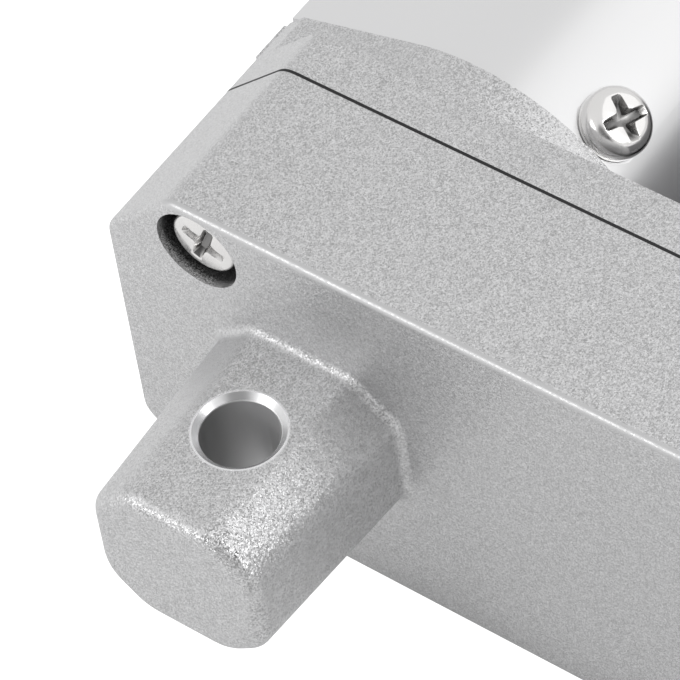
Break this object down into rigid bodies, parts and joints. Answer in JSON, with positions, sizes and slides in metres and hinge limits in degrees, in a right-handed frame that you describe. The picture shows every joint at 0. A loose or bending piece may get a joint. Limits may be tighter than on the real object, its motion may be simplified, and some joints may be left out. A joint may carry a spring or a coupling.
{
  "type": "electric linear actuator",
  "caption": "Electric linear actuator: a parallel motor drives a lead screw through a spur gear train, and a rod with an eye slides out of a tube; pinned at both ends",
  "frame": {"origin": "centre of the rear mounting hole, on the lead screw's axis", "axes": "+X along the rod toward its eye, +Z along the mounting holes, +Y away from the motor"},
  "size_m": [0.225, 0.0782, 0.038],
  "materials": {
    "cast_metal": "sparkling bead-blasted die casting, satin",
    "tube_metal": "smooth satin drawn tube",
    "gasket": "black fibre gasket, matt",
    "screw_metal": "bright nickel plate",
    "seal_rubber": "black rubber, matt",
    "rod_metal": "ground and polished",
    "steel": "turned steel, light oil",
    "bearing_steel": "ground bearing steel",
    "gear_steel": "hobbed steel, satin",
    "bronze": "sintered bronze, oiled",
    "nut_plastic": "moulded acetal, natural",
    "guide_plastic": "moulded plastic, black",
    "board": "green circuit board",
    "can_steel": "zinc-plated deep-drawn steel",
    "magnet": "dark grey ferrite",
    "core_steel": "stacked lamination steel",
    "copper": "enamelled copper wire",
    "carbon": "pressed carbon",
    "contact_brass": "stamped brass"
  },
  "bodies": {
    "housing": {"rear_cover": "cast_metal", "housing_gasket": "gasket", "front_housing": "cast_metal", "housing_screws": "screw_metal", "outer_tube": "tube_metal", "tube_rear_screws": "screw_metal", "tube_front_screws": "screw_metal", "front_cap": "cast_metal", "rod_bush": "bronze", "rod_wiper": "seal_rubber", "rear_bush": "bronze", "bearing_outer_ring": "bearing_steel", "bearing_circlip": "steel", "idler_pin": "steel", "idler_washers": "steel", "limit_switch_board": "board", "rear_limit_switch": "guide_plastic", "front_limit_switch": "guide_plastic", "motor_can": "can_steel", "motor_magnets": "magnet", "motor_front_bush": "bronze", "motor_end_bell": "guide_plastic", "motor_rear_bush": "bronze", "motor_brushes": "carbon", "motor_terminals": "contact_brass", "motor_screws": "screw_metal", "motor_cover": "tube_metal", "motor_cover_screws": "screw_metal", "motor_end_cap": "cast_metal", "end_cap_seal": "seal_rubber", "end_cap_screws": "screw_metal", "cable_grommet": "seal_rubber"},
    "rod": {"inner_rod": "rod_metal", "rod_eye": "steel", "rod_eye_pin": "steel", "drive_nut": "nut_plastic", "nut_guide_ring": "guide_plastic"},
    "screw": {"lead_screw": "steel", "gear_key": "steel", "gear_spacer": "steel", "gear_circlip": "steel", "output_gear": "gear_steel", "bearing_inner_ring": "bearing_steel"},
    "bearing_set": {"bearing_balls": "bearing_steel", "bearing_cage": "contact_brass"},
    "idler": {"idler_gear": "gear_steel"},
    "rotor": {"motor_shaft": "steel", "motor_pinion": "gear_steel", "armature_core": "core_steel", "armature_windings": "copper", "commutator": "copper"}
  },
  "joints": [
    {"name": "rod_slide", "type": "slide", "parent": "housing", "child": "rod", "axis": [1, 0, 0], "range_m": [0, 0.1]},
    {"name": "screw_spin", "type": "hinge", "parent": "housing", "child": "screw", "pos_m": [0.03, 0, 0], "axis": [-1, 0, 0], "range_deg": [0, 9002]},
    {"name": "bearing_spin", "type": "hinge", "parent": "housing", "child": "bearing_set", "pos_m": [0.0296, 0, 0], "axis": [-1, 0, 0], "range_deg": [0, 3601]},
    {"name": "idler_spin", "type": "hinge", "parent": "housing", "child": "idler", "pos_m": [0.019, -0.021, 0], "axis": [-1, 0, 0], "range_deg": [-16205, 0]},
    {"name": "rotor_spin", "type": "hinge", "parent": "housing", "child": "rotor", "pos_m": [0.052, -0.039, 0], "axis": [-1, 0, 0], "range_deg": [0, 56710]}
  ],
  "couplings": [
    {"joint": "screw_spin", "follows": "rod_slide", "rad_per_m": 1570.8},
    {"joint": "bearing_spin", "follows": "rod_slide", "rad_per_m": 628.32},
    {"joint": "idler_spin", "follows": "rod_slide", "rad_per_m": -2827.4},
    {"joint": "rotor_spin", "follows": "rod_slide", "rad_per_m": 9896}
  ]
}
